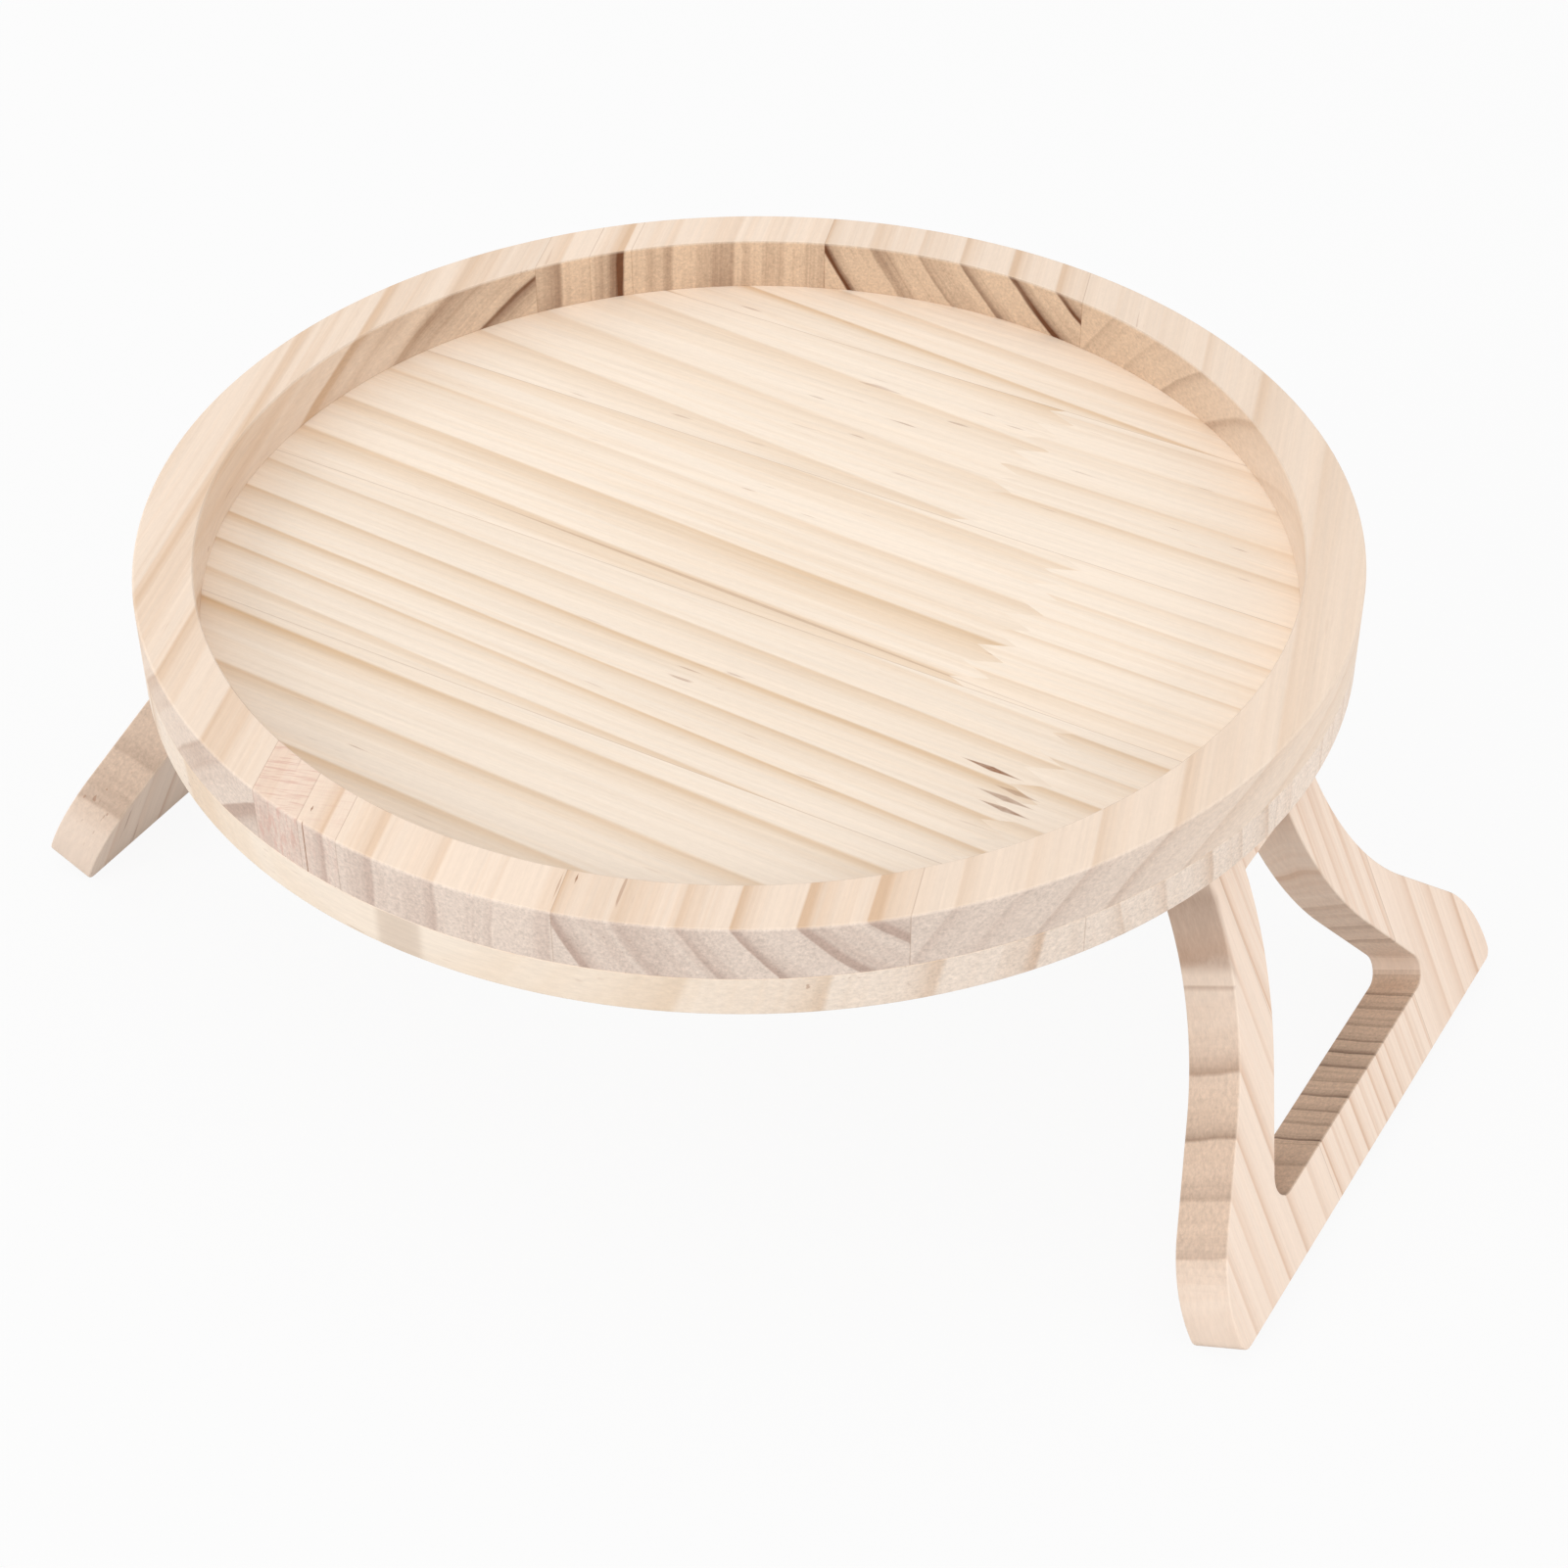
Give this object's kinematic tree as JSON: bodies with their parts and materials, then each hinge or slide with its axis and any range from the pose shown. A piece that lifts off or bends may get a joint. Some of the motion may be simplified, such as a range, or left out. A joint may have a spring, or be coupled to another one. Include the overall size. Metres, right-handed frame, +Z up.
{
  "type": "sofa arm tray",
  "caption": "Round rimmed wooden tray on splayed windowed board legs that straddle a sofa arm and fold flat under it on small butt hinges.",
  "frame": {"origin": "midway between the two legs, at the level of the surface that they stand on", "axes": "+X towards the right leg, +Y along the hinge lines towards the rear, +Z up through the centre of the round tray"},
  "size_m": [0.3592, 0.3, 0.1309],
  "materials": {
    "rim_wood": "bare sanded pine, edge-glued staves",
    "base_wood": "bare sanded pine board",
    "leg_wood": "bare sanded pine board",
    "hinge_steel": "zinc plated satin",
    "fastener_steel": "zinc plated"
  },
  "bodies": {
    "tray": {"tray_base_board": "base_wood", "tray_rim_ring": "rim_wood", "right_front_hinge_tray_leaf": "hinge_steel", "right_front_hinge_pin": "fastener_steel", "right_rear_hinge_tray_leaf": "hinge_steel", "right_rear_hinge_pin": "fastener_steel", "right_tray_leaf_screws": "fastener_steel", "left_front_hinge_tray_leaf": "hinge_steel", "left_front_hinge_pin": "fastener_steel", "left_rear_hinge_tray_leaf": "hinge_steel", "left_rear_hinge_pin": "fastener_steel", "left_tray_leaf_screws": "fastener_steel"},
    "right_leg": {"right_leg_frame": "leg_wood", "right_front_hinge_leg_leaf": "hinge_steel", "right_rear_hinge_leg_leaf": "hinge_steel", "right_leg_leaf_screws": "fastener_steel"},
    "left_leg": {"left_leg_frame": "leg_wood", "left_front_hinge_leg_leaf": "hinge_steel", "left_rear_hinge_leg_leaf": "hinge_steel", "left_leg_leaf_screws": "fastener_steel"}
  },
  "joints": [
    {"name": "right_leg_fold", "type": "hinge", "parent": "tray", "child": "right_leg", "pos_m": [0.11681, 0, 0.1038], "axis": [0, 1, 0], "range_deg": [0, 114]},
    {"name": "left_leg_fold", "type": "hinge", "parent": "tray", "child": "left_leg", "pos_m": [-0.11681, 0, 0.1038], "axis": [0, -1, 0], "range_deg": [0, 114]}
  ]
}
